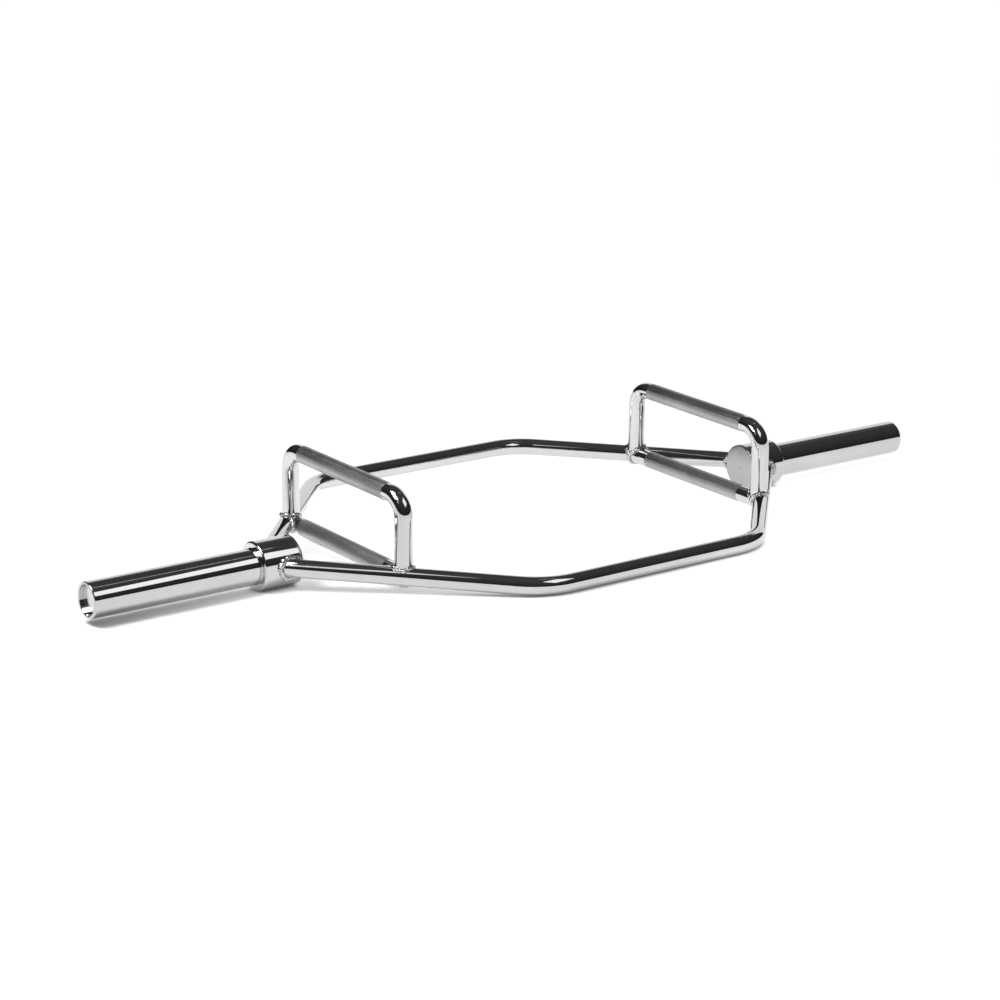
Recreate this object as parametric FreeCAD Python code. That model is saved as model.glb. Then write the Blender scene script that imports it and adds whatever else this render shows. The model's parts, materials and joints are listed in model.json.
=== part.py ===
import FreeCAD, Part
import math
import os

from FreeCAD import Vector

# Hex trap bar of chrome-plated steel, welded up from bent and straight round bar.
# X runs along the plate sleeves, Y across the hexagon and Z up through the raised handles.
# The origin lies under the middle of the bar, level with the lowest line of the collars.
# All sizes are in millimetres.

# Plate sleeves, each a thick tube turned down for the plates, with a plug set back in its end
SLEEVE_OD = 50.0
SLEEVE_WALL = 4.5
SLEEVE_LENGTH = 247.0
SLEEVE_RIM_ROUND = 1.5
SHOULDER_STEP = 0.5
SHOULDER_LENGTH = 1.0
PLUG_THICKNESS = 5.0
PLUG_RECESS = 6.5
PLUG_EDGE = 0.8
PLUG_CLEARANCE = 0.1

# Collars, each a ring over the root of a sleeve with a cap over its inner end
COLLAR_OD = 68.0
COLLAR_LENGTH = 54.5
COLLAR_EDGE_ROUND = 3.0
COLLAR_CLEARANCE = 0.1
CAP_THICKNESS = 5.0
CAP_EDGE_ROUND = 2.5
CAP_SPAN = 787.0
CENTRE_MARK_D = 3.0

# Rails, each one solid bar bent twice, with its ends welded to the sides of both collars
RAIL_OD = 25.4
RAIL_BEND_RADIUS = 84.0
RAIL_LANDING = 19.0
HEXAGON_DEPTH = 578.0
LONG_RUN_SPAN = 357.0

# Handles, a straight one level with the rails and a raised one bent to a U
HANDLE_OD = 25.0
HANDLE_SPAN = 614.0
HANDLE_BEND_RADIUS = 29.0
GRIP_RISE = 106.0
LEG_INSET = 6.0

# Weld beads, which reach this far over both of the bars that they join
BEAD = 4.0

# Places worked out from the sizes above
SLEEVE_R = SLEEVE_OD / 2
BORE_R = SLEEVE_R - SLEEVE_WALL
ROOT_R = SLEEVE_R + SHOULDER_STEP
COLLAR_R = COLLAR_OD / 2
RAIL_R = RAIL_OD / 2
HANDLE_R = HANDLE_OD / 2
AXIS_Z = COLLAR_R
CAP_X = CAP_SPAN / 2
COLLAR_X = CAP_X + CAP_THICKNESS
COLLAR_FACE_X = COLLAR_X + COLLAR_LENGTH
SLEEVE_END_X = COLLAR_FACE_X + SLEEVE_LENGTH
CORNER_X = LONG_RUN_SPAN / 2
CORNER_Y = HEXAGON_DEPTH / 2
LANDING_X = CAP_X + RAIL_LANDING
HANDLE_X = HANDLE_SPAN / 2
RUN_SLOPE = (LANDING_X - CORNER_X) / (CORNER_Y - COLLAR_R)
LEG_Y = COLLAR_R + (LANDING_X - HANDLE_X) / RUN_SLOPE - LEG_INSET
ALONG_X = Vector(1, 0, 0)
ALONG_Z = Vector(0, 0, 1)
SIDES = (("left", -1), ("right", 1))
FACES = (("front", -1), ("rear", 1))


def run_x(y):
    """X of a slanting run's centreline at a distance y from the sleeve axis."""
    return LANDING_X - RUN_SLOPE * (y - COLLAR_R)


def run_y(x):
    """Distance of a slanting run's centreline from the sleeve axis at x."""
    return COLLAR_R + (LANDING_X - x) / RUN_SLOPE


def cylinder(radius, start, end):
    return Part.makeCylinder(radius, (end - start).Length, start, end - start)


def disc(radius, x_near, x_far):
    """Cylinder on the sleeve axis between two places along X."""
    return cylinder(radius, Vector(x_near, 0, AXIS_Z), Vector(x_far, 0, AXIS_Z))


def turned(section):
    """Piece turned about the sleeve axis, from the x and radius of each corner of its section."""
    corners = [Vector(x, 0, AXIS_Z + radius) for x, radius in section]
    face = Part.Face(Part.makePolygon(corners + corners[:1]))
    return face.revolve(Vector(0, 0, AXIS_Z), ALONG_X, 360)


def rims(shape, radius, x):
    """Circular edges of a turned piece that have this radius and lie at x."""
    found = []
    for edge in shape.Edges:
        curve = edge.Curve
        if isinstance(curve, Part.Circle) and abs(curve.Radius - radius) < 1e-6:
            if abs(curve.Center.x - x) < 1e-6:
                found.append(edge)
    return found


def bent_path(corners, bend_radius):
    """Wire along straight runs, with a tangent arc in place of each inner corner."""
    edges = []
    start = corners[0]
    for before, corner, after in zip(corners, corners[1:], corners[2:]):
        back = (before - corner).normalize()
        ahead = (after - corner).normalize()
        half_turn = (math.pi - back.getAngle(ahead)) / 2
        setback = bend_radius * math.tan(half_turn)
        inset = bend_radius / math.cos(half_turn) - bend_radius
        arc_start = corner + back * setback
        arc_middle = corner + (back + ahead).normalize() * inset
        arc_end = corner + ahead * setback
        edges.append(Part.LineSegment(start, arc_start).toShape())
        edges.append(Part.Arc(arc_start, arc_middle, arc_end).toShape())
        start = arc_end
    edges.append(Part.LineSegment(start, corners[-1]).toShape())
    return Part.Wire(edges)


def bent_bar(corners, bend_radius, radius):
    """Round bar swept along a bent path."""
    circle = Part.makeCircle(radius, corners[0], corners[1] - corners[0])
    path = bent_path(corners, bend_radius)
    return path.makePipeShell([Part.Wire(circle)], True, False)


def turned_to(side_sign, shape):
    """Copy of a right-hand piece on its own side; the left one is half a turn round."""
    copy = shape.copy()
    if side_sign < 0:
        copy.rotate(Vector(0, 0, 0), ALONG_Z, 180)
    return copy


def make_sleeve():
    """Thick tube, full size in the collar, turned down past it and rounded at its open rim."""
    section = (
        (COLLAR_X, BORE_R),
        (COLLAR_X, ROOT_R),
        (COLLAR_FACE_X, ROOT_R),
        (COLLAR_FACE_X + SHOULDER_LENGTH, SLEEVE_R),
        (SLEEVE_END_X, SLEEVE_R),
        (SLEEVE_END_X, BORE_R),
    )
    tube = turned(section)
    outer_rim = rims(tube, SLEEVE_R, SLEEVE_END_X)
    inner_rim = rims(tube, BORE_R, SLEEVE_END_X)
    return tube.makeFillet(SLEEVE_RIM_ROUND, outer_rim + inner_rim)


def make_plug():
    """Plain disc set back in the sleeve's open end."""
    face_x = SLEEVE_END_X - PLUG_RECESS
    radius = BORE_R - PLUG_CLEARANCE
    plug = disc(radius, face_x - PLUG_THICKNESS, face_x)
    return plug.makeChamfer(PLUG_EDGE, rims(plug, radius, face_x))


def make_collar():
    """Ring that stops the plates, rounded at its outer end and flush with the cap."""
    bore_r = ROOT_R + COLLAR_CLEARANCE
    section = (
        (COLLAR_X, bore_r),
        (COLLAR_X, COLLAR_R),
        (COLLAR_FACE_X, COLLAR_R),
        (COLLAR_FACE_X, bore_r),
    )
    ring = turned(section)
    return ring.makeFillet(COLLAR_EDGE_ROUND, rims(ring, COLLAR_R, COLLAR_FACE_X))


def make_cap():
    """Flat disc over the collar's inner end, with a rounded edge and a drilled centre mark."""
    cap = disc(COLLAR_R, CAP_X, COLLAR_X)
    cap = cap.makeFillet(CAP_EDGE_ROUND, rims(cap, COLLAR_R, CAP_X))
    mark_r = CENTRE_MARK_D / 2
    mark = Part.makeCone(mark_r, 0, mark_r, Vector(CAP_X, 0, AXIS_Z), ALONG_X)
    return cap.cut(mark)


def rail_bar(face_sign):
    """Bar along one rail, from sleeve axis to sleeve axis."""
    root_x = run_x(0)
    path = (
        Vector(-root_x, 0, AXIS_Z),
        Vector(-CORNER_X, face_sign * CORNER_Y, AXIS_Z),
        Vector(CORNER_X, face_sign * CORNER_Y, AXIS_Z),
        Vector(root_x, 0, AXIS_Z),
    )
    return bent_bar(path, RAIL_BEND_RADIUS, RAIL_R)


def run_bar(face_sign, radius):
    """Straight bar along one slanting run of a rail at the right-hand end."""
    root = Vector(run_x(0), 0, AXIS_Z)
    corner = Vector(CORNER_X, face_sign * CORNER_Y, AXIS_Z)
    return cylinder(radius, root, corner)


def low_bar(radius):
    """Straight bar along a low handle, from rail centreline to rail centreline."""
    reach = run_y(HANDLE_X)
    return cylinder(radius, Vector(HANDLE_X, -reach, AXIS_Z), Vector(HANDLE_X, reach, AXIS_Z))


def high_bar():
    """Bar along a raised handle, both legs set in from the rails' centrelines."""
    grip_z = AXIS_Z + GRIP_RISE
    path = (
        Vector(HANDLE_X, -LEG_Y, AXIS_Z),
        Vector(HANDLE_X, -LEG_Y, grip_z),
        Vector(HANDLE_X, LEG_Y, grip_z),
        Vector(HANDLE_X, LEG_Y, AXIS_Z),
    )
    return bent_bar(path, HANDLE_BEND_RADIUS, HANDLE_R)


def make_rail(face_sign):
    """Bent bar with both ends coped to fit round the collars."""
    trims = [disc(COLLAR_R, side * CAP_X, side * SLEEVE_END_X) for _, side in SIDES]
    return rail_bar(face_sign).cut(trims)


def make_low_handle(rail_bars):
    """Straight bar with both ends coped to the inner sides of the rails."""
    return low_bar(HANDLE_R).cut(rail_bars)


def make_high_handle(rail_bars):
    """U-bent bar with both legs coped to saddle the rails and the low handle's ends."""
    return high_bar().cut(rail_bars + [low_bar(HANDLE_R)])


def inner_quarter(face_sign):
    """Block under the sleeve axis, on the hexagon's side of one slanting run's middle."""
    middle = Vector(0, 0, 0)
    root = Vector(run_x(0), 0, 0)
    corner = Vector(CORNER_X, face_sign * CORNER_Y, 0)
    far_side = Vector(0, face_sign * CORNER_Y, 0)
    outline = Part.makePolygon([middle, root, corner, far_side, middle])
    return Part.Face(outline).extrude(ALONG_Z * AXIS_Z)


def make_collar_weld(face_sign):
    """Bead all round a rail's end where it meets the collar."""
    near = CAP_X + CAP_EDGE_ROUND
    far = COLLAR_FACE_X - COLLAR_EDGE_ROUND
    bead = disc(COLLAR_R + BEAD, near, far).common(run_bar(face_sign, RAIL_R + BEAD))
    return bead.cut([disc(COLLAR_R, CAP_X, COLLAR_FACE_X), run_bar(face_sign, RAIL_R)])


def make_foot_weld(face_sign):
    """Bead all round the foot of a raised handle's leg, over the rail and the low handle."""
    foot = Vector(HANDLE_X, face_sign * LEG_Y, AXIS_Z)
    top = foot + ALONG_Z * (RAIL_R + HANDLE_R + BEAD)
    under = run_bar(face_sign, RAIL_R + BEAD).fuse(low_bar(HANDLE_R + BEAD))
    bead = cylinder(HANDLE_R + BEAD, foot, top).common(under)
    inside = [
        cylinder(HANDLE_R, foot, top),
        run_bar(face_sign, RAIL_R),
        low_bar(HANDLE_R),
    ]
    return bead.cut(inside)


def make_handle_weld(face_sign):
    """Bead under the end of a low handle, where it meets the rail and the leg's bead stops."""
    bead = low_bar(HANDLE_R + BEAD).common(run_bar(face_sign, RAIL_R + BEAD))
    bead = bead.common(inner_quarter(face_sign))
    return bead.cut([low_bar(HANDLE_R), run_bar(face_sign, RAIL_R)])


def make_nodes():
    """Every separate piece of the bar, by name."""
    nodes = {}
    rail_bars = [rail_bar(face_sign) for _, face_sign in FACES]
    for face, face_sign in FACES:
        nodes[face + "_rail"] = make_rail(face_sign)
    for side, side_sign in SIDES:
        nodes[side + "_sleeve"] = turned_to(side_sign, make_sleeve())
        nodes[side + "_sleeve_plug"] = turned_to(side_sign, make_plug())
        nodes[side + "_collar"] = turned_to(side_sign, make_collar())
        nodes[side + "_collar_cap"] = turned_to(side_sign, make_cap())
        nodes[side + "_low_handle"] = turned_to(side_sign, make_low_handle(rail_bars))
        nodes[side + "_high_handle"] = turned_to(side_sign, make_high_handle(rail_bars))
        for face, face_sign in FACES:
            place = side + "_" + face
            # The half turn that makes a left-hand piece also brings its rear to the front.
            turned_sign = side_sign * face_sign
            nodes[place + "_collar_weld"] = turned_to(side_sign, make_collar_weld(turned_sign))
            nodes[place + "_high_handle_weld"] = turned_to(side_sign, make_foot_weld(turned_sign))
            nodes[place + "_low_handle_weld"] = turned_to(side_sign, make_handle_weld(turned_sign))
    return nodes


def main():
    os.makedirs("parts", exist_ok=True)
    for name, shape in make_nodes().items():
        shape.exportStep("parts/" + name + ".step")
        print(name, "solids", len(shape.Solids), "volume", round(shape.Volume, 1))


main()
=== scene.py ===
import json
import math

import bmesh
import bpy
import numpy as np
from mathutils import Matrix, Vector


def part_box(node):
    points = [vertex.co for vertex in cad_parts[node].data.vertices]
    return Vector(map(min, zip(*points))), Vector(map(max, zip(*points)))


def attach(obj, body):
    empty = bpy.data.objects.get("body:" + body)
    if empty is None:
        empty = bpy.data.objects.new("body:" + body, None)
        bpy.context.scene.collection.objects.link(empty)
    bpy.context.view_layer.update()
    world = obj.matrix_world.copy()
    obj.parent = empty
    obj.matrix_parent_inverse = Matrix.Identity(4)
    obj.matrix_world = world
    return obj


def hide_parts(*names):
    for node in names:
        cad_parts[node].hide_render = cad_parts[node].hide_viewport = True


# Hex trap bar of chrome-plated steel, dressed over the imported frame.
# Lengths are in metres, in the frame's own axes: X along the sleeves, front at minus Y, Z up.

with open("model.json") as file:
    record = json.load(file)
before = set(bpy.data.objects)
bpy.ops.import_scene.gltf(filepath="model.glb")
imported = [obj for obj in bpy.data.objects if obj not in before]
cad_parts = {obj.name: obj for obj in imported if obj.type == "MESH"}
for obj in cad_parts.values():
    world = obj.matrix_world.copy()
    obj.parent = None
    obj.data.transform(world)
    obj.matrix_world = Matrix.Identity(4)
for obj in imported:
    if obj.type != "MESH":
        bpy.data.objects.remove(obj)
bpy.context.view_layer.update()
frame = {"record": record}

MM = 0.001
SIDES = (("left", -1), ("right", 1))
FACES = (("front", -1), ("rear", 1))

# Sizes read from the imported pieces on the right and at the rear
sleeve_lo, sleeve_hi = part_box("right_sleeve")
plug_lo, plug_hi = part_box("right_sleeve_plug")
collar_lo, collar_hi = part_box("right_collar")
cap_lo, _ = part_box("right_collar_cap")
rail_lo, rail_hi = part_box("rear_rail")
low_lo, low_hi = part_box("right_low_handle")
_, high_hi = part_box("right_high_handle")
plate_pin = [m for m in frame["record"]["mounts"] if m["name"] == "right_plate_sleeve"][0]

AXIS_Z = (collar_lo.z + collar_hi.z) / 2
COLLAR_R = (collar_hi.z - collar_lo.z) / 2
CAP_X = cap_lo.x
COLLAR_X = collar_lo.x
COLLAR_FACE_X = collar_hi.x
SLEEVE_END_X = sleeve_hi.x
SLEEVE_R = plate_pin["dims"]["r_mm"] * MM
ROOT_R = (sleeve_hi.z - sleeve_lo.z) / 2
PLUG_R = (plug_hi.z - plug_lo.z) / 2
PLUG_BACK_X = plug_lo.x
PLUG_FACE_X = plug_hi.x
RAIL_R = (rail_hi.z - rail_lo.z) / 2
CORNER_Y = rail_hi.y - RAIL_R
HANDLE_R = (low_hi.x - low_lo.x) / 2
HANDLE_X = (low_hi.x + low_lo.x) / 2
LEG_Y = high_hi.y - HANDLE_R
GRIP_Z = high_hi.z - HANDLE_R

# Sizes that no box gives, as in the part's own source
CORNER_X = 178.5 * MM
RAIL_LANDING = 19 * MM
RAIL_BEND_R = 84 * MM
HANDLE_BEND_R = 29 * MM
BORE_GAP = 0.1 * MM
SHOULDER_LENGTH = 1.0 * MM
SLEEVE_RIM_ROUND = 1.5 * MM
COLLAR_EDGE_ROUND = 3.0 * MM
CAP_EDGE_ROUND = 2.5 * MM
PLUG_EDGE_ROUND = 0.8 * MM
MARK_R = 1.5 * MM
LANDING_X = CAP_X + RAIL_LANDING
RUN_Y = COLLAR_R + (LANDING_X - HANDLE_X) * (CORNER_Y - COLLAR_R) / (LANDING_X - CORNER_X)

# Knurl on the grips and weld beads
KNURL_DIAMONDS = 46
KNURL_DEPTH = 0.14 * MM
KNURL_LIFT = 0.09 * MM
KNURL_WEAR = 0.022 * MM
KNURL_FADE = 1.6 * MM
GRIP_LENGTH = 214 * MM
FOOT_BEAD_R = 2.6 * MM
COLLAR_BEAD_R = 3.4 * MM
BEAD_RIPPLE = 2.8 * MM

# Shares of a bead's radius, and the waves that make it uneven
BEAD_LEAST = 0.92
BEAD_RIPPLE_RISE = 0.14
BEAD_SWELL = 0.12
BEAD_LUMPS = 0.08
BEAD_DRIFT = 0.2
BEAD_LIFT = 0.4
SWELL_WAVES = range(2, 15)
DRIFT_WAVES = range(2, 12)
LUMP_WAVES = range(6, 40, 2)
LUMP_TWIST = 3
LUMP_CALM = 4
PHASES = 6.3

# Seeds of the random draws; each bead has the next one
KNURL_SEED = 7
FIRST_BEAD_SEED = 11

# Fineness of the meshes, and the angles in degrees past which an edge is sharp
BAR_SIDES = 2 * KNURL_DIAMONDS
TURNED_SIDES = 160
ARC_STEP = math.radians(2.5)
ROUND_STEPS = 8
BAR_GUARD = 1.5 * MM
TURNED_GUARD = 0.4 * MM
BEAD_POINTS = 260
BEAD_SIDES = 20
LEAST_ARC_STEPS = 4
JOIN_DISTANCE = 1e-7
BAR_CREASE = 32
BEAD_CREASE = 75
TURNED_CREASE = 24

ALONG_X = np.array((1.0, 0.0, 0.0))
ALONG_Y = np.array((0.0, 1.0, 0.0))
ALONG_Z = np.array((0.0, 0.0, 1.0))
ON_AXIS = np.array((0.0, 0.0, AXIS_Z))


def unit(v):
    return v / np.linalg.norm(v, axis=-1, keepdims=True)


def run_direction(side_sign, face_sign):
    """Direction along a slanting run, from the corner of the rail to its collar."""
    across = side_sign * (LANDING_X - CORNER_X)
    inward = face_sign * (COLLAR_R - CORNER_Y)
    return unit(np.array((across, inward, 0.0)))


def corner_point(side_sign, face_sign):
    return np.array((side_sign * CORNER_X, face_sign * CORNER_Y, AXIS_Z))


def run_point(side_sign, face_sign, y):
    """Point on a slanting run's centreline at a distance y from the sleeve axis."""
    corner = corner_point(side_sign, face_sign)
    direction = run_direction(side_sign, face_sign)
    return corner + direction * ((y - CORNER_Y) * face_sign / direction[1])


# Meshes of bars: stations along a bent path, rings round them, and ends coped to a cylinder
def bent_stations(corners, bend_r):
    """Points and directions along runs joined by tangent arcs, with a guard at both ends of each arc."""
    stations = [(corners[0], unit(corners[1] - corners[0]))]
    for before, corner, after in zip(corners, corners[1:], corners[2:]):
        ahead = unit(corner - before)
        onward = unit(after - corner)
        turn = math.acos(float(np.clip(ahead @ onward, -1, 1)))
        setback = bend_r * math.tan(turn / 2)
        inward = unit(onward - ahead * (ahead @ onward))
        start = corner - ahead * setback
        steps = max(LEAST_ARC_STEPS, round(turn / ARC_STEP))
        stations.append((start - ahead * BAR_GUARD, ahead))
        for angle in np.linspace(0, turn, steps + 1):
            cos, sin = math.cos(angle), math.sin(angle)
            point = start + ahead * (bend_r * sin) + inward * (bend_r * (1 - cos))
            stations.append((point, ahead * cos + inward * sin))
        stations.append((corner + onward * (setback + BAR_GUARD), onward))
    stations.append((corners[-1], unit(corners[-1] - corners[-2])))
    return stations


def outward_rings(stations, plane_normal, sides):
    """Unit vectors pointing out of the bar, one ring of them at each station."""
    angle = np.linspace(0, 2 * math.pi, sides, endpoint=False)
    rings = [
        np.cos(angle)[:, None] * np.cross(plane_normal, tangent) + np.sin(angle)[:, None] * plane_normal
        for _, tangent in stations
    ]
    return np.array(rings)


def bar_grid(stations, outward, radius):
    centres = np.array([point for point, _ in stations])
    return centres[:, None, :] + radius * outward


def reach_to_cylinder(points, direction, axis_point, axis_direction, radius):
    """How far each point goes along a direction before it meets a cylinder."""
    flat = direction - axis_direction * (direction @ axis_direction)
    offset = points - axis_point
    offset = offset - np.outer(offset @ axis_direction, axis_direction)
    a = flat @ flat
    b = offset @ flat
    c = np.einsum("ij,ij->i", offset, offset) - radius ** 2
    return (-b - np.sqrt(np.maximum(b * b - a * c, 0))) / a


def away_from_axis(points, axis_point, axis_direction):
    offset = points - axis_point
    return unit(offset - np.outer(offset @ axis_direction, axis_direction))


def tube_faces(rings, sides):
    """Quads between rings, and fans over both ends to the two extra points after the rings."""
    faces = []
    for i in range(rings - 1):
        for j in range(sides):
            k = (j + 1) % sides
            faces.append((i * sides + j, i * sides + k, (i + 1) * sides + k, (i + 1) * sides + j))
    first, last = rings * sides, rings * sides + 1
    for j in range(sides):
        k = (j + 1) % sides
        faces.append((first, k, j))
        faces.append((last, (rings - 1) * sides + j, (rings - 1) * sides + k))
    return faces


def mesh_piece(name, points, faces, materials, slot, crease=BAR_CREASE):
    """Mesh object with its faces turned outward, riding on the frame's one body."""
    mesh = bpy.data.meshes.new(name)
    mesh.from_pydata([tuple(p) for p in points], [], [tuple(f) for f in faces])
    shell = bmesh.new()
    shell.from_mesh(mesh)
    bmesh.ops.remove_doubles(shell, verts=shell.verts, dist=JOIN_DISTANCE)
    bmesh.ops.recalc_face_normals(shell, faces=shell.faces)
    shell.to_mesh(mesh)
    shell.free()
    for material in materials:
        mesh.materials.append(material)
    mesh.polygons.foreach_set("use_smooth", [True] * len(mesh.polygons))
    mesh.set_sharp_from_angle(angle=math.radians(crease))
    piece = bpy.data.objects.new(name, mesh)
    bpy.context.scene.collection.objects.link(piece)
    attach(piece, "root")
    return piece


def closed_tube(grid):
    """Points and faces of a bar from its rings, closed at both ends."""
    rings, sides, _ = grid.shape
    ends = [grid[0].mean(axis=0), grid[-1].mean(axis=0)]
    points = np.vstack((grid.reshape(-1, 3), ends))
    return points, tube_faces(rings, sides)


# Rails
def make_rail(face, face_sign):
    """Twice-bent bar coped to both collars; gives back the curves that its ends make on them."""
    ring_y = COLLAR_R + 2 * RAIL_R
    corners = [
        run_point(-1, face_sign, ring_y),
        corner_point(-1, face_sign),
        corner_point(1, face_sign),
        run_point(1, face_sign, ring_y),
    ]
    stations = bent_stations(corners, RAIL_BEND_R)
    stations = [stations[0]] + stations + [stations[-1]]
    outward = outward_rings(stations, ALONG_Z, BAR_SIDES)
    grid = bar_grid(stations, outward, RAIL_R)
    curves = {}
    for (side, side_sign), end in zip(SIDES, (0, -1)):
        direction = run_direction(side_sign, face_sign)
        reach = reach_to_cylinder(grid[end], direction, ON_AXIS, ALONG_X, COLLAR_R)
        grid[end] += reach[:, None] * direction
        curves[side] = (grid[end].copy(), outward[end], away_from_axis(grid[end], ON_AXIS, ALONG_X))
    piece = mesh_piece(face + "_rail_bar", *closed_tube(grid), [CHROME_BAR], "chrome")
    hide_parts(face + "_rail")
    return curves


# Handles
def knurl_half_pitch():
    return math.pi * HANDLE_R / KNURL_DIAMONDS


def knurl_relief(along, around, length):
    """Height of the knurl at each point of its grid: pits and peaks by turns, fading at both ends."""
    rng = np.random.default_rng(KNURL_SEED)
    pits = (along[:, None] + around[None, :]) % 2 == 0
    height = np.where(pits, KNURL_LIFT - KNURL_DEPTH, KNURL_LIFT)
    height = height + rng.normal(0, KNURL_WEAR, height.shape)
    place = along * (length / along[-1])
    fade = np.clip(np.minimum(place, length - place) / KNURL_FADE, 0, 1)
    return height * fade[:, None]


def straight_stations(start, end, rings):
    direction = unit(end - start)
    return [(start + (end - start) * t, direction) for t in np.linspace(0, 1, rings)]


def knurled_faces(first, last, rings, sides):
    """Tube faces where the quads of the grip are split along the grooves of the knurl."""
    faces = []
    grip = []
    for quad in tube_faces(rings, sides):
        ring = quad[0] // sides
        if len(quad) == 3 or not first <= ring < last:
            faces.append(quad)
            continue
        a, b, c, d = quad
        if (ring - first + a % sides) % 2 == 0:
            grip += [(a, b, c), (a, c, d)]
        else:
            grip += [(a, b, d), (b, c, d)]
    return faces, grip


def knurled_bar(stations, grip, plane_normal):
    """Bar whose stations from grip[0] to grip[1] carry the knurl, with both ends ready to be coped."""
    first, last = grip
    outward = outward_rings(stations, plane_normal, BAR_SIDES)
    grid = bar_grid(stations, outward, HANDLE_R)
    length = np.linalg.norm(stations[last][0] - stations[first][0])
    relief = knurl_relief(np.arange(last - first + 1), np.arange(BAR_SIDES), length)
    grid[first:last + 1] += relief[:, :, None] * outward[first:last + 1]
    return outward, grid


def finish_knurled(name, grid, grip, slot):
    first, last = grip
    rings, sides, _ = grid.shape
    points, _ = closed_tube(grid)
    plain, knurled = knurled_faces(first, last, rings, sides)
    piece = mesh_piece(name, points, plain + knurled, [CHROME_BAR, CHROME_KNURL], slot)
    flags = np.arange(len(piece.data.polygons)) >= len(plain)
    piece.data.polygons.foreach_set("material_index", flags.astype(np.int32))
    piece.data.polygons.foreach_set("use_smooth", ~flags)
    piece.data.update()
    return piece


def grip_stations(x, z):
    """Rings along a knurled grip, odd in number so that both ends match."""
    rings = 2 * round(GRIP_LENGTH / knurl_half_pitch() / 2) + 1
    start = np.array((x, -GRIP_LENGTH / 2, z))
    end = np.array((x, GRIP_LENGTH / 2, z))
    return straight_stations(start, end, rings)


def make_low_handle(side, side_sign):
    """Straight bar with a knurled middle, coped to the rails; gives back its end curves."""
    x = side_sign * HANDLE_X
    grip = grip_stations(x, AXIS_Z)
    stations = [grip[0]] + grip + [grip[-1]]
    name = side + "_low_handle_bar"
    places = (1, len(grip))
    outward, grid = knurled_bar(stations, places, ALONG_X)
    curves = {}
    for (face, face_sign), row in zip(FACES, (0, -1)):
        axis_point = corner_point(side_sign, face_sign)
        axis_direction = run_direction(side_sign, face_sign)
        direction = ALONG_Y * face_sign
        ring = np.array((x, 0, AXIS_Z)) + HANDLE_R * outward[row]
        slide = reach_to_cylinder(ring, direction, axis_point, axis_direction, RAIL_R)
        grid[row] = ring + slide[:, None] * direction
        mate = away_from_axis(grid[row], axis_point, axis_direction)
        curves[face] = (grid[row].copy(), outward[row], mate)
    piece = finish_knurled(name, grid, places, "chrome_grip")
    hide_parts(side + "_low_handle")
    return curves


def foot_curve(ring, outward, side_sign, face_sign):
    """Slides a leg's lowest ring down to the rail, or to the low handle where that lies higher."""
    axis_point = corner_point(side_sign, face_sign)
    axis_direction = run_direction(side_sign, face_sign)
    low_point = np.array((side_sign * HANDLE_X, 0, AXIS_Z))
    to_rail = reach_to_cylinder(ring, -ALONG_Z, axis_point, axis_direction, RAIL_R)
    to_low = reach_to_cylinder(ring, -ALONG_Z, low_point, ALONG_Y, HANDLE_R)
    inner = ring[:, 1] * face_sign < RUN_Y
    on_low = inner & (to_low < to_rail)
    down = np.where(on_low, to_low, to_rail)
    curve = ring - down[:, None] * ALONG_Z
    on_rail = away_from_axis(curve, axis_point, axis_direction)
    mate = np.where(on_low[:, None], away_from_axis(curve, low_point, ALONG_Y), on_rail)
    return curve, outward, mate


def make_high_handle(side, side_sign):
    """U-bent bar with a knurled top, its legs saddled on the rails; gives back its foot curves."""
    x = side_sign * HANDLE_X
    ring_z = AXIS_Z + 2 * RAIL_R
    corners = [
        np.array((x, -LEG_Y, ring_z)),
        np.array((x, -LEG_Y, GRIP_Z)),
        np.array((x, LEG_Y, GRIP_Z)),
        np.array((x, LEG_Y, ring_z)),
    ]
    bent = bent_stations(corners, HANDLE_BEND_R)
    half = len(bent) // 2
    grip = grip_stations(x, GRIP_Z)
    stations = [bent[0]] + bent[:half] + grip + bent[half:] + [bent[-1]]
    places = (half + 1, half + len(grip))
    name = side + "_high_handle_bar"
    outward, grid = knurled_bar(stations, places, ALONG_X)
    curves = {}
    for (face, face_sign), row in zip(FACES, (0, -1)):
        curves[face] = foot_curve(grid[row], outward[row], side_sign, face_sign)
        grid[row] = curves[face][0]
    piece = finish_knurled(name, grid, places, "chrome_grip")
    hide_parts(side + "_high_handle")
    return curves


# Weld beads
def around_loop(values, count):
    """Closed loop of vectors sampled again at even steps along its length."""
    curve = values[0]
    closed = np.vstack((curve, curve[:1]))
    travel = np.concatenate(([0], np.cumsum(np.linalg.norm(np.diff(closed, axis=0), axis=1))))
    places = np.linspace(0, travel[-1], count, endpoint=False)
    sampled = []
    for value in values:
        looped = np.vstack((value, value[:1]))
        sampled.append(np.column_stack([np.interp(places, travel, looped[:, k]) for k in range(3)]))
    return sampled, places, travel[-1]


def uneven(places, length, rng, waves):
    """Smooth random wander round a loop, between about minus one and one."""
    total = np.zeros_like(places)
    for wave in waves:
        size = rng.normal(0, 1)
        total += size * np.sin(2 * math.pi * wave * places / length + rng.uniform(0, PHASES))
    return total / math.sqrt(len(waves))


def lumps(places, angle, length, rng):
    """Random swellings over the face of a bead, longer and shorter ones together."""
    total = np.zeros((len(places), len(angle)))
    for wave in LUMP_WAVES:
        twist = rng.integers(-LUMP_TWIST, LUMP_TWIST + 1)
        phase = 2 * math.pi * wave * places[:, None] / length + twist * angle[None, :]
        size = rng.normal(0, 1)
        total += size * np.sin(phase + rng.uniform(0, PHASES))
    return total / LUMP_CALM


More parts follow.
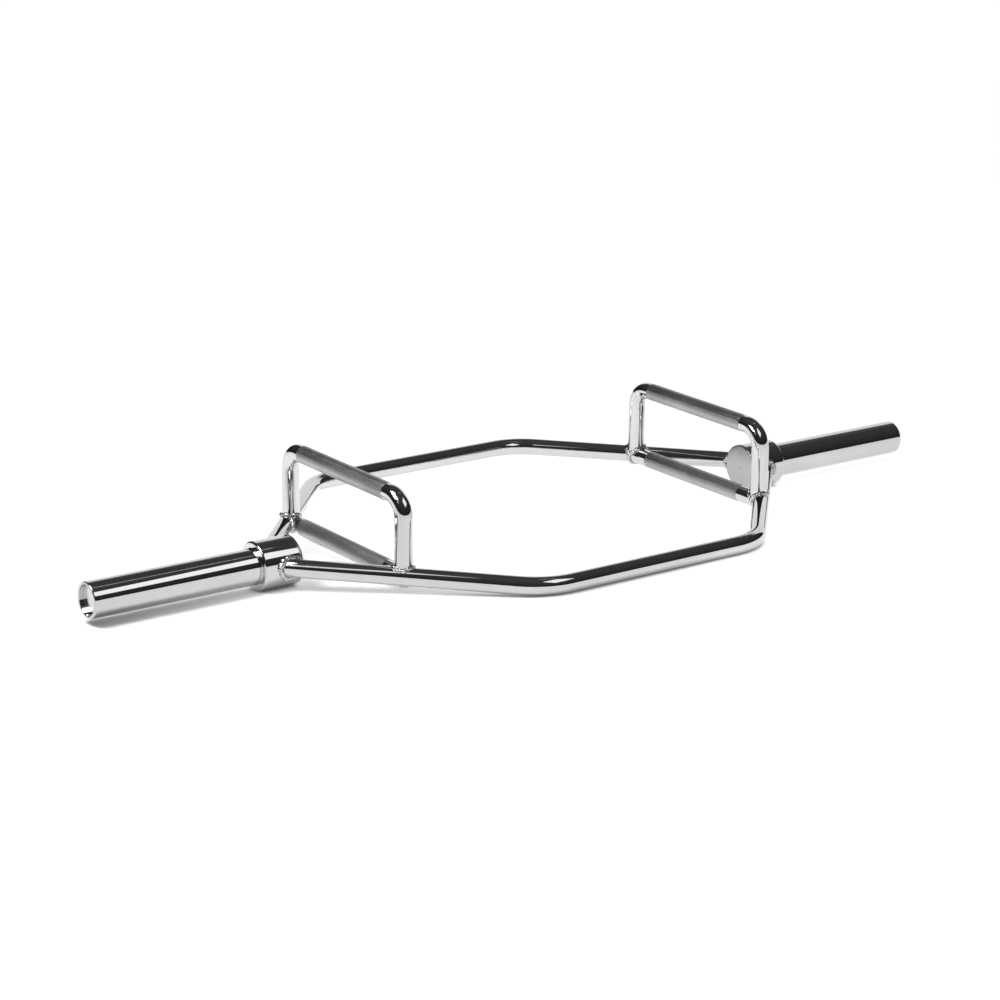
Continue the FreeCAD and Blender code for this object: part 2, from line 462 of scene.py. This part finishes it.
def make_bead(name, node, loop, radius, seed):
    """Rippled, lumpy bead laid in the corner between a bar's end and what it meets."""
    rng = np.random.default_rng(seed)
    (curve, bar_out, mate_out), places, length = around_loop(loop, BEAD_POINTS)
    tangent = unit(np.roll(curve, -1, axis=0) - np.roll(curve, 1, axis=0))
    lift = bar_out + mate_out
    lift = unit(lift - tangent * np.einsum("ij,ij->i", lift, tangent)[:, None])
    across = np.cross(tangent, lift)
    angle = np.linspace(0, 2 * math.pi, BEAD_SIDES, endpoint=False)
    ripples = round(length / BEAD_RIPPLE)
    ripple = np.abs(np.sin(math.pi * ripples * places / length))
    swell = BEAD_LEAST + BEAD_RIPPLE_RISE * ripple
    swell = swell + BEAD_SWELL * uneven(places, length, rng, SWELL_WAVES)
    size = radius * (swell[:, None] + BEAD_LUMPS * lumps(places, angle, length, rng))
    drift = BEAD_DRIFT * radius * uneven(places, length, rng, DRIFT_WAVES)
    centre = curve + lift * (BEAD_LIFT * radius) + across * drift[:, None]
    cos, sin = np.cos(angle)[None, :, None], np.sin(angle)[None, :, None]
    ring = cos * lift[:, None, :] + sin * across[:, None, :]
    grid = centre[:, None, :] + size[:, :, None] * ring
    faces = []
    for i in range(BEAD_POINTS):
        for j in range(BEAD_SIDES):
            n, k = (i + 1) % BEAD_POINTS, (j + 1) % BEAD_SIDES
            here, ahead = i * BEAD_SIDES, n * BEAD_SIDES
            faces.append((here + j, here + k, ahead + k, ahead + j))
    points = grid.reshape(-1, 3)
    piece = mesh_piece(name, points, faces, [CHROME_WELD], "chrome_weld", BEAD_CREASE)
    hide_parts(node)


# Turned pieces on the sleeve axis
def rounded_section(corners):
    """Outline from the x, radius and rounding of each corner, with a guard beside each rounding."""
    outline = []
    count = len(corners)
    for i, (x, radius, rounding) in enumerate(corners):
        here = np.array((x, radius))
        if rounding == 0:
            outline.append(here)
            continue
        before = unit(np.array(corners[i - 1][:2]) - here)
        after = unit(np.array(corners[(i + 1) % count][:2]) - here)
        outline.append(here + before * (rounding + TURNED_GUARD))
        for angle in np.linspace(0, math.pi / 2, ROUND_STEPS + 1):
            back, onward = 1 - math.sin(angle), 1 - math.cos(angle)
            outline.append(here + before * rounding * back + after * rounding * onward)
        outline.append(here + after * (rounding + TURNED_GUARD))
    return np.array(outline)


def turned_piece(name, node, side_sign, corners, material):
    """Closed section turned about the sleeve axis."""
    outline = rounded_section(corners)
    angle = np.linspace(0, 2 * math.pi, TURNED_SIDES, endpoint=False)
    count = len(outline)
    x = np.repeat(outline[:, 0] * side_sign, TURNED_SIDES)
    y = np.outer(outline[:, 1], np.cos(angle)).ravel()
    z = np.outer(outline[:, 1], np.sin(angle)).ravel() + AXIS_Z
    faces = []
    for i in range(count):
        n = (i + 1) % count
        if outline[i, 1] == 0 and outline[n, 1] == 0:
            continue
        for j in range(TURNED_SIDES):
            k = (j + 1) % TURNED_SIDES
            a, b = i * TURNED_SIDES + j, i * TURNED_SIDES + k
            c, d = n * TURNED_SIDES + k, n * TURNED_SIDES + j
            faces.append((a, b, c, d))
    points = np.column_stack((x, y, z))
    piece = mesh_piece(name, points, faces, [material], "chrome", TURNED_CREASE)
    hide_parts(node)


def make_turned(side, side_sign):
    """Sleeve, plug, collar and cap of one side."""
    bore_r = PLUG_R + BORE_GAP
    sleeve = (
        (COLLAR_X, bore_r, 0),
        (COLLAR_X, ROOT_R, 0),
        (COLLAR_FACE_X, ROOT_R, 0),
        (COLLAR_FACE_X + SHOULDER_LENGTH, SLEEVE_R, 0),
        (SLEEVE_END_X, SLEEVE_R, SLEEVE_RIM_ROUND),
        (SLEEVE_END_X, bore_r, SLEEVE_RIM_ROUND),
    )
    plug = (
        (PLUG_BACK_X, 0, 0),
        (PLUG_BACK_X, PLUG_R, 0),
        (PLUG_FACE_X, PLUG_R, PLUG_EDGE_ROUND),
        (PLUG_FACE_X, 0, 0),
    )
    collar = (
        (COLLAR_X, ROOT_R + BORE_GAP, 0),
        (COLLAR_X, COLLAR_R, 0),
        (COLLAR_FACE_X, COLLAR_R, COLLAR_EDGE_ROUND),
        (COLLAR_FACE_X, ROOT_R + BORE_GAP, 0),
    )
    cap = (
        (COLLAR_X, 0, 0),
        (CAP_X + MARK_R, 0, 0),
        (CAP_X, MARK_R, 0),
        (CAP_X, COLLAR_R, CAP_EDGE_ROUND),
        (COLLAR_X, COLLAR_R, 0),
    )
    turned_piece(side + "_sleeve_tube", side + "_sleeve", side_sign, sleeve, CHROME_SLEEVE)
    turned_piece(side + "_sleeve_disc", side + "_sleeve_plug", side_sign, plug, CHROME_PLUG)
    turned_piece(side + "_collar_ring", side + "_collar", side_sign, collar, CHROME_SLEEVE)
    turned_piece(side + "_collar_disc", side + "_collar_cap", side_sign, cap, CHROME_CAP)


# Materials
NOISE_ROUGHNESS = 0.55
RAMP_ENDS = (0.3, 0.7)
BLUE_TINTS = (1.01, 1.012)
SHADE_SCALE, SHADE_DETAIL = 16, 3
HAZE_DETAIL, HAZE_ROUGHNESS = 5, 0.62
HAZE_RANGE = (0.35, 0.72)
BUMP_DETAIL = 3


def add_node(tree, kind, inputs, **settings):
    """New shader node; an input is a value, or a socket to link from."""
    new = tree.nodes.new(kind)
    for name, value in settings.items():
        setattr(new, name, value)
    for name, value in inputs.items():
        if isinstance(value, bpy.types.NodeSocket):
            tree.links.new(value, new.inputs[name])
        else:
            new.inputs[name].default_value = value
    return new


def noise(tree, coords, scale, detail, roughness=NOISE_ROUGHNESS):
    inputs = {"Vector": coords, "Scale": scale, "Detail": detail, "Roughness": roughness}
    return add_node(tree, "ShaderNodeTexNoise", inputs).outputs["Fac"]


def calculate(tree, operation, first, second, **settings):
    """Result of a sum on two values or sockets."""
    inputs = {0: first, 1: second}
    return add_node(tree, "ShaderNodeMath", inputs, operation=operation, **settings).outputs[0]


def between(tree, value, from_range, to_range):
    """Value carried over from one range to another, and held at its ends."""
    inputs = {
        "Value": value,
        "From Min": from_range[0],
        "From Max": from_range[1],
        "To Min": to_range[0],
        "To Max": to_range[1],
    }
    return add_node(tree, "ShaderNodeMapRange", inputs).outputs["Result"]


def grey_ramp(tree, value, dark, light):
    """Greys from dark to light, very slightly blue."""
    ramp = add_node(tree, "ShaderNodeValToRGB", {"Fac": value})
    for i, shade in enumerate((dark, light)):
        ramp.color_ramp.elements[i].position = RAMP_ENDS[i]
        ramp.color_ramp.elements[i].color = (shade, shade, shade * BLUE_TINTS[i], 1)
    return ramp.outputs["Color"]


def plated(name, shades, gloss, haze_scale, bump_scale, bump_height, stretch=(1, 1, 1)):
    """Chrome plate: shade and gloss drift slowly, and a fine relief breaks up the reflections."""
    material = bpy.data.materials.new(name)
    material.use_nodes = True
    tree = material.node_tree
    shader = tree.nodes["Principled BSDF"]
    coords = add_node(tree, "ShaderNodeTexCoord", {}).outputs["Object"]
    lined = add_node(tree, "ShaderNodeMapping", {"Vector": coords, "Scale": stretch}).outputs["Vector"]
    drift = noise(tree, coords, SHADE_SCALE, SHADE_DETAIL)
    tree.links.new(grey_ramp(tree, drift, *shades), shader.inputs["Base Color"])
    haze = noise(tree, lined, haze_scale, HAZE_DETAIL, HAZE_ROUGHNESS)
    tree.links.new(between(tree, haze, HAZE_RANGE, gloss), shader.inputs["Roughness"])
    relief = noise(tree, lined, bump_scale, BUMP_DETAIL)
    bump = add_node(tree, "ShaderNodeBump", {"Height": relief, "Strength": 1.0, "Distance": bump_height})
    tree.links.new(bump.outputs["Normal"], shader.inputs["Normal"])
    shader.inputs["Metallic"].default_value = 1.0
    return material


CHROME_BAR = plated(
    "chrome_bar", shades=(0.53, 0.57), gloss=(0.03, 0.07),
    haze_scale=45, bump_scale=70, bump_height=0.008 * MM,
)
CHROME_SLEEVE = plated(
    "chrome_sleeve", shades=(0.53, 0.57), gloss=(0.03, 0.08),
    haze_scale=30, bump_scale=60, bump_height=0.006 * MM, stretch=(1.6, 1, 1),
)
CHROME_PLUG = plated(
    "chrome_plug", shades=(0.66, 0.70), gloss=(0.16, 0.22),
    haze_scale=40, bump_scale=300, bump_height=0.001 * MM,
)
CHROME_CAP = plated(
    "chrome_cap", shades=(0.42, 0.46), gloss=(0.28, 0.32),
    haze_scale=40, bump_scale=300, bump_height=0.001 * MM,
)
CHROME_KNURL = plated(
    "chrome_knurl", shades=(0.32, 0.42), gloss=(0.28, 0.36),
    haze_scale=120, bump_scale=900, bump_height=0.01 * MM,
)
CHROME_WELD = plated(
    "chrome_weld", shades=(0.42, 0.60), gloss=(0.10, 0.28),
    haze_scale=300, bump_scale=700, bump_height=0.14 * MM,
)


def make_bar():
    """Every piece of the bar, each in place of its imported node."""
    seed = FIRST_BEAD_SEED
    for face, face_sign in FACES:
        for side, loop in make_rail(face, face_sign).items():
            node = side + "_" + face + "_collar_weld"
            make_bead(node + "_bead", node, loop, COLLAR_BEAD_R, seed)
            seed += 1
    for side, side_sign in SIDES:
        make_turned(side, side_sign)
        for kind, loops in (
            ("low_handle", make_low_handle(side, side_sign)),
            ("high_handle", make_high_handle(side, side_sign)),
        ):
            for face, loop in loops.items():
                node = side + "_" + face + "_" + kind + "_weld"
                make_bead(node + "_bead", node, loop, FOOT_BEAD_R, seed)
                seed += 1


# Studio: the bar is tipped on to its front rail, so the floor leans to the front by the same angle
LEAN = math.asin((COLLAR_R - RAIL_R) / CORNER_Y)
FLOOR_UP = Vector((0, math.sin(LEAN), math.cos(LEAN)))
FLOOR_POINT = Vector((0, 0, AXIS_Z)) - FLOOR_UP * COLLAR_R

# Floor: the radius and height of its rings, and its paint
FLOOR_RINGS = ((0.0, 0.0), (4.0, 0.0), (32.0, 0.0), (38.0, 0.32), (40.0, 1.6))
FLOOR_SIDES = 96
FLOOR_WHITE = 0.80
MOTTLE = 0.005
MOTTLE_SCALE, MOTTLE_DETAIL = 3, 2
FIRST_BOUNCE = 0.5

# Curved backdrop: its angles from straight behind, its heights and where its white fades
WALL_DISTANCE = 7.0
WALL_FOOT, WALL_TOP = -0.8, 8.0
WALL_BRIGHT, WALL_DARK = 4.0, 5.2
WALL_GLOW = (1.0, 0.05)
WALL_FROM, WALL_TO = math.radians(18), math.radians(80)
WALL_STEPS = 48

# Painted glow to spare on the floor that covers faint cast shadows, from least on the left and at the
# front to most behind and on the right
FLOOR_SPARE = (0.05, 0.34)
SPARE_ALONG = Vector((1, 1.6, 0))
SPARE_PLACES = (-0.45, -0.30)

# Painted contact shade: the floor's glow is darkened by ambient occlusion where metal touches or nears the
# floor
CONTACT_REACH = 0.012
CONTACT_RANGE = (0.10, 0.55)
CONTACT_SHADE = 0.08
CONTACT_SAMPLES = 4

# Lamps: the key's light is in floor whites straight under it, and a glow is what a mirror shows
KEY_PLACE = Vector((-1.17, 0.10, 1.13))
KEY_SIZE = (0.78, 0.54)
KEY_TURN = math.radians(35)
KEY_LIGHT = 1.30
SIDE_PLACE = Vector((0.06, -0.78, 0.97))
SIDE_SIZE = (0.65, 0.50)
SIDE_GLOW = 1.5
FRONT_PLACE = Vector((-1.27, -0.40, 1.13))
FRONT_SIZE = (1.05, 0.17)
FRONT_TURN = math.radians(13)
FRONT_GLOW = 1.1
STRIP_PLACE = Vector((0.42, -0.03, 2.03))
STRIP_SIZE = (0.48, 0.07)
STRIP_GLOW = 0.9

# Dark room round the studio, at the horizon and overhead
ROOM_LOW = (0.014, 0.014, 0.014, 1)
ROOM_HIGH = (0.07, 0.07, 0.071, 1)
WHITE = (1, 1, 1, 1)


def shown_white(tree):
    """One for the rays that see a surface itself: from the camera, and by way of metal or glass."""
    path = add_node(tree, "ShaderNodeLightPath", {})
    seen = path.outputs["Is Camera Ray"]
    for kind in ("Is Glossy Ray", "Is Transmission Ray"):
        seen = calculate(tree, "MAXIMUM", seen, path.outputs[kind])
    not_from_paint = calculate(tree, "LESS_THAN", path.outputs["Diffuse Depth"], FIRST_BOUNCE)
    return calculate(tree, "MULTIPLY", seen, not_from_paint)


def key_share(tree, place):
    """How much of its white a place on the floor has from the key lamp."""
    foot = KEY_PLACE - FLOOR_UP * (KEY_PLACE - FLOOR_POINT).dot(FLOOR_UP)
    away = add_node(tree, "ShaderNodeVectorMath", {0: place, 1: foot}, operation="DISTANCE")
    height = (KEY_PLACE - foot).length
    scaled = calculate(tree, "DIVIDE", away.outputs["Value"], height)
    square = calculate(tree, "POWER", scaled, 2.0)
    spread = calculate(tree, "ADD", square, 1.0)
    falloff = calculate(tree, "POWER", spread, -2.0)
    return calculate(tree, "MULTIPLY", falloff, KEY_LIGHT)


def pale_material(name, glow_strength):
    """White paint that glows for the rays that see it; glow_strength gives the glow at each place."""
    material = bpy.data.materials.new(name)
    material.use_nodes = True
    tree = material.node_tree
    tree.nodes.clear()
    place = add_node(tree, "ShaderNodeNewGeometry", {}).outputs["Position"]
    strength = calculate(tree, "MULTIPLY", glow_strength(tree, place), shown_white(tree))
    mottle = noise(tree, place, MOTTLE_SCALE, MOTTLE_DETAIL)
    colour = grey_ramp(tree, mottle, FLOOR_WHITE - MOTTLE, FLOOR_WHITE + MOTTLE)
    diffuse = add_node(tree, "ShaderNodeBsdfDiffuse", {"Color": colour})
    glow = add_node(tree, "ShaderNodeEmission", {"Strength": strength})
    both = add_node(tree, "ShaderNodeAddShader", {0: diffuse.outputs[0], 1: glow.outputs[0]})
    add_node(tree, "ShaderNodeOutputMaterial", {"Surface": both.outputs[0]})
    return material


def floor_glow(tree, place):
    """Painted glow: what the key lamp leaves to white, with some to spare that paints over faint shadows;
    less under metal, as painted contact shade.
    """
    # Painted light: spare glow over faint shadows, growing towards the rear and the right
    along = add_node(tree, "ShaderNodeVectorMath", {0: place, 1: SPARE_ALONG}, operation="DOT_PRODUCT")
    whites = [1.0 + spare for spare in FLOOR_SPARE]
    white = between(tree, along.outputs["Value"], SPARE_PLACES, whites)
    share = key_share(tree, place)
    rest = calculate(tree, "SUBTRACT", white, share, use_clamp=True)
    reach = {"Distance": CONTACT_REACH}
    # Painted contact shade: ambient occlusion darkens the floor's glow close to the metal
    open_sky = add_node(tree, "ShaderNodeAmbientOcclusion", reach, samples=CONTACT_SAMPLES)
    painted_contact_shade = between(tree, open_sky.outputs["AO"], CONTACT_RANGE, (CONTACT_SHADE, 1.0))
    return calculate(tree, "MULTIPLY", rest, painted_contact_shade)


def wall_glow(tree, place):
    """White low down on the backdrop, fading to dark above."""
    height = add_node(tree, "ShaderNodeSeparateXYZ", {"Vector": place}).outputs["Z"]
    return between(tree, height, (WALL_BRIGHT, WALL_DARK), WALL_GLOW)


def stage_piece(name, points, faces, material):
    mesh = bpy.data.meshes.new(name)
    mesh.from_pydata(points, [], faces)
    mesh.materials.append(material)
    mesh.polygons.foreach_set("use_smooth", [True] * len(mesh.polygons))
    piece = bpy.data.objects.new(name, mesh)
    bpy.context.scene.collection.objects.link(piece)
    return piece


def make_floor():
    """Wide round floor whose far edge turns up, leaning so that collars and front rail touch it."""
    points = []
    faces = []
    for radius, height in FLOOR_RINGS:
        for j in range(FLOOR_SIDES):
            angle = 2 * math.pi * j / FLOOR_SIDES
            points.append((radius * math.cos(angle), radius * math.sin(angle), height))
    for i in range(len(FLOOR_RINGS) - 1):
        for j in range(FLOOR_SIDES):
            k = (j + 1) % FLOOR_SIDES
            here, outer = i * FLOOR_SIDES, (i + 1) * FLOOR_SIDES
            faces.append((here + j, outer + j, outer + k, here + k))
    floor = stage_piece("floor", points, faces, pale_material("floor_white", floor_glow))
    floor.matrix_world = Matrix.Translation(FLOOR_POINT) @ Matrix.Rotation(-LEAN, 4, "X")


def make_wall():
    """Curved backdrop behind the bar, white below."""
    points = []
    faces = []
    for i in range(WALL_STEPS + 1):
        angle = WALL_FROM + (WALL_TO - WALL_FROM) * i / WALL_STEPS
        x, y = WALL_DISTANCE * math.sin(angle), WALL_DISTANCE * math.cos(angle)
        points.append((x, y, WALL_FOOT))
        points.append((x, y, WALL_TOP))
    for i in range(WALL_STEPS):
        faces.append((2 * i, 2 * i + 1, 2 * i + 3, 2 * i + 2))
    stage_piece("backdrop", points, faces, pale_material("backdrop_white", wall_glow))


def make_lamp(name, place, aim, size, watts, turn=0.0):
    """Soft box at a place, facing along aim."""
    lamp = bpy.data.lights.new(name, "AREA")
    lamp.shape = "RECTANGLE"
    lamp.size, lamp.size_y = size
    lamp.energy = watts
    box = bpy.data.objects.new(name, lamp)
    facing = aim.to_track_quat("-Z", "Y").to_matrix().to_4x4()
    box.matrix_world = Matrix.Translation(place) @ facing @ Matrix.Rotation(turn, 4, "Z")
    bpy.context.scene.collection.objects.link(box)


def glow_watts(size, glow):
    """Power that makes a soft box of this size look this bright in a mirror."""
    return glow * math.pi * size[0] * size[1]


def make_lamps():
    """The key lamp overhead on the left, and weak boxes and a strip that show as bands on the chrome."""
    height = (KEY_PLACE - FLOOR_POINT).dot(FLOOR_UP)
    key_watts = KEY_LIGHT / FLOOR_WHITE * math.pi ** 2 * height ** 2
    make_lamp("key_softbox", KEY_PLACE, -FLOOR_UP, KEY_SIZE, key_watts, KEY_TURN)
    left_sleeve = Vector((-(COLLAR_FACE_X + SLEEVE_END_X) / 2, 0, AXIS_Z))
    side_watts = glow_watts(SIDE_SIZE, SIDE_GLOW)
    make_lamp("side_softbox", SIDE_PLACE, left_sleeve - SIDE_PLACE, SIDE_SIZE, side_watts)
    front_watts = glow_watts(FRONT_SIZE, FRONT_GLOW)
    make_lamp("front_softbox", FRONT_PLACE, -FLOOR_UP, FRONT_SIZE, front_watts, FRONT_TURN)
    make_lamp("strip_light", STRIP_PLACE, -FLOOR_UP, STRIP_SIZE, glow_watts(STRIP_SIZE, STRIP_GLOW))


def make_world():
    """Dark room, a little lighter overhead, and white where the camera looks past the floor."""
    world = bpy.data.worlds.new("studio")
    world.use_nodes = True
    tree = world.node_tree
    tree.nodes.clear()
    coords = add_node(tree, "ShaderNodeTexCoord", {}).outputs["Generated"]
    height = add_node(tree, "ShaderNodeSeparateXYZ", {"Vector": coords}).outputs["Z"]
    dark = add_node(tree, "ShaderNodeValToRGB", {"Fac": height})
    dark.color_ramp.elements[0].color = ROOM_LOW
    dark.color_ramp.elements[1].color = ROOM_HIGH
    path = add_node(tree, "ShaderNodeLightPath", {})
    room = add_node(tree, "ShaderNodeBackground", {"Color": dark.outputs["Color"]})
    white = add_node(tree, "ShaderNodeBackground", {"Color": WHITE})
    shaders = {0: path.outputs["Is Camera Ray"], 1: room.outputs[0], 2: white.outputs[0]}
    seen = add_node(tree, "ShaderNodeMixShader", shaders)
    add_node(tree, "ShaderNodeOutputWorld", {"Surface": seen.outputs[0]})
    bpy.context.scene.world = world


# Camera, placed by fitting the bar's outline in the photograph
CAMERA_PLACE = Vector((-2.2066, -3.0081, 1.1882))
CAMERA_FORWARD = Vector((0.55736, 0.77723, -0.29201)).normalized()
CAMERA_ROLL = math.radians(0.537)
CAMERA_LENS = 98.84
CAMERA_SENSOR = 36
CAMERA_REACH = 200


def make_camera():
    lens = bpy.data.cameras.new("photo_camera")
    lens.sensor_width = CAMERA_SENSOR
    lens.lens = CAMERA_LENS
    lens.clip_end = CAMERA_REACH
    camera = bpy.data.objects.new("photo_camera", lens)
    level = CAMERA_FORWARD.cross(Vector((0, 0, 1))).normalized()
    upright = level.cross(CAMERA_FORWARD)
    right = level * math.cos(CAMERA_ROLL) + upright * math.sin(CAMERA_ROLL)
    up = right.cross(CAMERA_FORWARD)
    turn = Matrix((right, up, -CAMERA_FORWARD)).transposed()
    camera.matrix_world = Matrix.Translation(CAMERA_PLACE) @ turn.to_4x4()
    bpy.context.scene.collection.objects.link(camera)
    bpy.context.scene.camera = camera


make_bar()
make_floor()
make_wall()
make_lamps()
make_world()
make_camera()
bpy.context.scene.view_settings.view_transform = "Standard"
